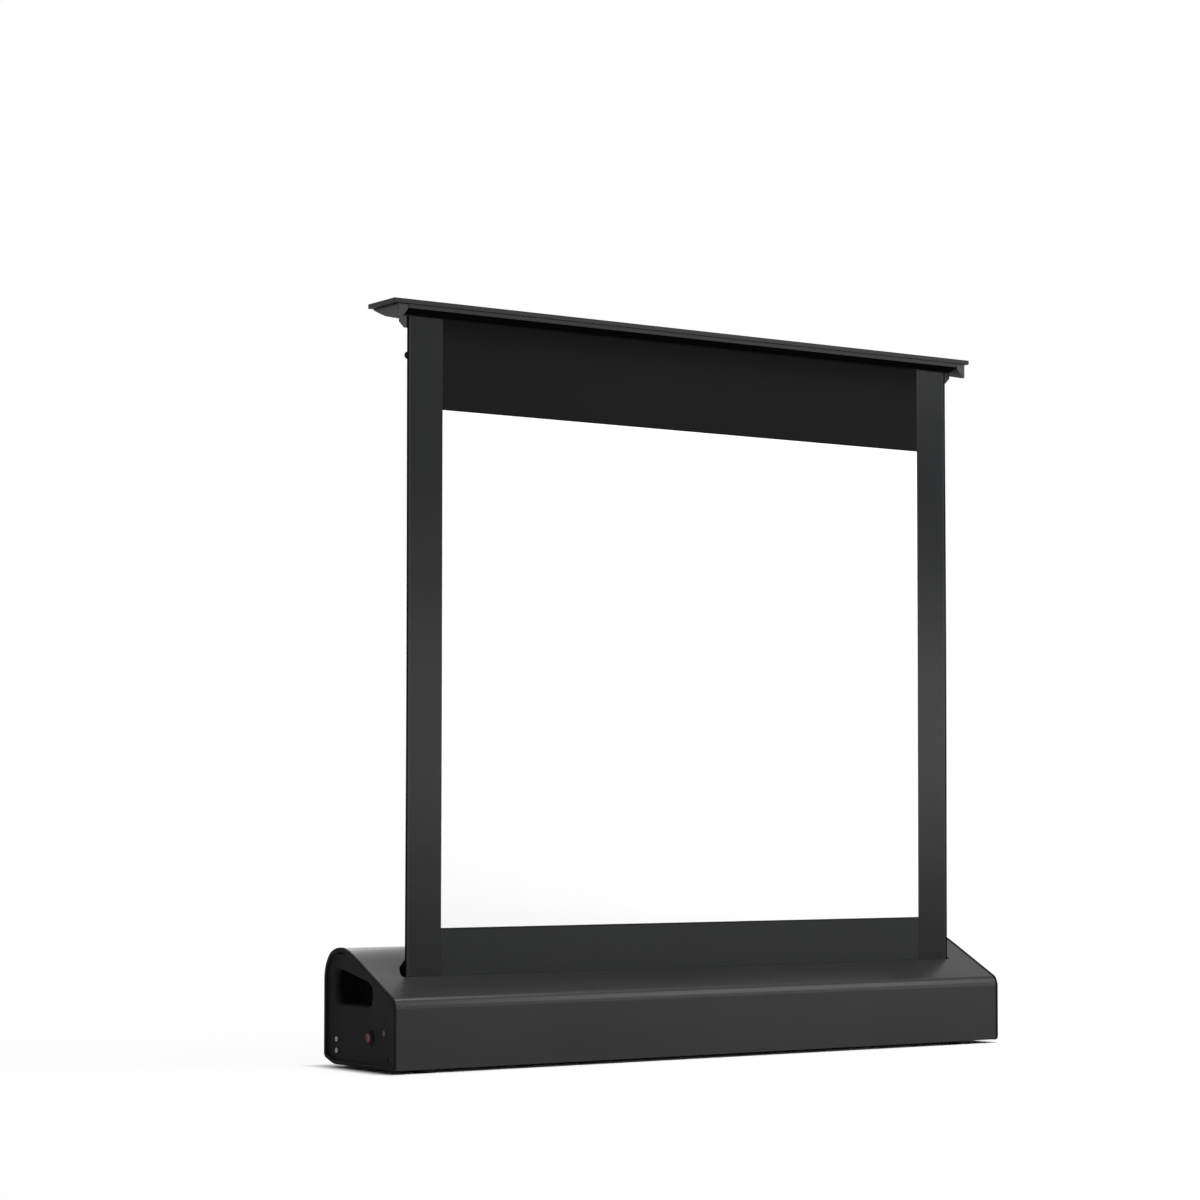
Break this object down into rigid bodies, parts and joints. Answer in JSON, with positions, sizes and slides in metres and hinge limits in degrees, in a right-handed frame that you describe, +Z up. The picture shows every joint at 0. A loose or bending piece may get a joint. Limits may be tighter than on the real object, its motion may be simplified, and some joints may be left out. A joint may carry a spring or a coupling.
{
  "type": "pull up projection screen",
  "caption": "Floor standing pull up projection screen: a sloping casing, a fabric on a spring roller, and a top bar carried by a scissor frame.",
  "frame": {"origin": "on the ground, under the middle of the casing", "axes": "+X along the screen to the viewer's right, -Y out of the picture towards the viewer, +Z up"},
  "size_m": [1.216, 0.223, 1.204],
  "materials": {
    "casing": "black satin coating",
    "cap": "fine grained black",
    "recess": "black",
    "red_button": "gloss red",
    "silver": "bright zinc",
    "dark_screw": "black oxide",
    "grey_plug": "grey",
    "foot_rubber": "matt",
    "roller": "mill finish",
    "screen": "matt white picture with dark blue grey borders and a black strip above",
    "nylon": "natural nylon",
    "steel": "zinc plated",
    "felt": "black felt",
    "bar": "black satin coating",
    "arm": "black anodised",
    "rail": "black anodised"
  },
  "bodies": {
    "base": {"front_casing": "casing", "rear_casing": "casing", "opening_end_left": "casing", "opening_end_right": "casing", "base_tray": "casing", "end_cap_left": "cap", "end_cap_right": "cap", "button_bezel": "cap", "grip_cup_left": "recess", "grip_cup_right": "recess", "cap_screw_left_upper": "silver", "cap_screw_left_lower": "silver", "cap_screw_right_upper": "silver", "cap_screw_right_lower": "silver", "cap_screw_left_front": "dark_screw", "cap_screw_right_front": "dark_screw", "front_screw_left": "dark_screw", "front_screw_right": "dark_screw", "cap_plug_left": "grey_plug", "foot_front_left": "foot_rubber", "foot_front_right": "foot_rubber", "foot_back_left": "foot_rubber", "foot_back_right": "foot_rubber", "roller_bracket_left": "steel", "roller_bracket_right": "steel", "spring_shaft": "steel", "roller_spring": "steel", "screen_fabric": "screen", "slot_felt": "felt", "base_pivot_bracket": "steel", "base_pivot_pin": "steel", "friction_nut": "silver", "base_rail": "rail"},
    "roller": {"roller_tube": "roller", "fabric_roll": "screen", "roller_plug_left": "nylon", "roller_plug_right": "nylon"},
    "release_button": {"release_button": "red_button"},
    "lower_back_arm": {"arm_lower_back": "arm", "pin_lower_cross": "steel", "pin_elbow_right": "steel"},
    "lower_front_arm": {"arm_lower_front": "arm", "pin_elbow_left": "steel", "pin_base_slide": "steel"},
    "upper_back_arm": {"arm_upper_back": "arm", "pin_upper_cross": "steel", "pin_top_slide": "steel"},
    "upper_front_arm": {"arm_upper_front": "arm"},
    "base_slide": {"base_slide_block": "nylon"},
    "top_slide": {"top_slide_block": "nylon"},
    "top_bar": {"top_plate": "bar", "bar_body": "bar", "bar_end_left": "bar", "bar_end_right": "bar", "fabric_batten": "arm", "edge_stay_left": "arm", "edge_stay_right": "arm", "top_rail": "rail", "top_pivot_bracket": "steel", "top_pivot_pin": "steel"}
  },
  "joints": [
    {"name": "screen_lift", "type": "hinge", "parent": "base", "child": "lower_back_arm", "pos_m": [-0.2165, -0.0085, 0.044], "axis": [0, -1, 0], "range_deg": [-47.93, 0], "deforming": ["screen_fabric"]},
    {"name": "lower_cross", "type": "hinge", "parent": "lower_back_arm", "child": "lower_front_arm", "pos_m": [0, -0.0185, 0.319], "axis": [0, -1, 0], "range_deg": [-0.1, 95.96]},
    {"name": "left_elbow", "type": "hinge", "parent": "lower_front_arm", "child": "upper_back_arm", "pos_m": [-0.2165, -0.0085, 0.594], "axis": [0, -1, 0], "range_deg": [-95.96, 0.1]},
    {"name": "upper_cross", "type": "hinge", "parent": "upper_back_arm", "child": "upper_front_arm", "pos_m": [0, -0.0185, 0.869], "axis": [0, -1, 0], "range_deg": [-0.1, 95.96]},
    {"name": "top_pivot", "type": "hinge", "parent": "upper_front_arm", "child": "top_bar", "pos_m": [-0.2165, -0.0185, 1.144], "axis": [0, -1, 0], "range_deg": [-48, 0.1]},
    {"name": "base_slide_pivot", "type": "hinge", "parent": "lower_front_arm", "child": "base_slide", "pos_m": [0.2165, -0.029, 0.044], "axis": [0, -1, 0], "range_deg": [-48, 0.1]},
    {"name": "top_slide_pivot", "type": "hinge", "parent": "upper_back_arm", "child": "top_slide", "pos_m": [0.2165, 0.002, 1.144], "axis": [0, -1, 0], "range_deg": [-0.1, 48]},
    {"name": "roller_spin", "type": "hinge", "parent": "base", "child": "roller", "pos_m": [0, -0.0656, 0.06], "axis": [1, 0, 0], "range_deg": [-2398, 1]},
    {"name": "button_press", "type": "slide", "parent": "base", "child": "release_button", "axis": [1, 0, 0], "range_m": [0, 0.003], "stiffness_N_per_m": 400, "springref_m": -0.002}
  ],
  "couplings": [
    {"joint": "lower_cross", "follows": "screen_lift", "ratio": -2},
    {"joint": "left_elbow", "follows": "screen_lift", "ratio": 2},
    {"joint": "upper_cross", "follows": "screen_lift", "ratio": -2},
    {"joint": "top_pivot", "follows": "screen_lift", "ratio": 1},
    {"joint": "base_slide_pivot", "follows": "screen_lift", "ratio": 1},
    {"joint": "top_slide_pivot", "follows": "screen_lift", "ratio": -1},
    {"joint": "roller_spin", "follows": "screen_lift", "ratio": 50}
  ]
}
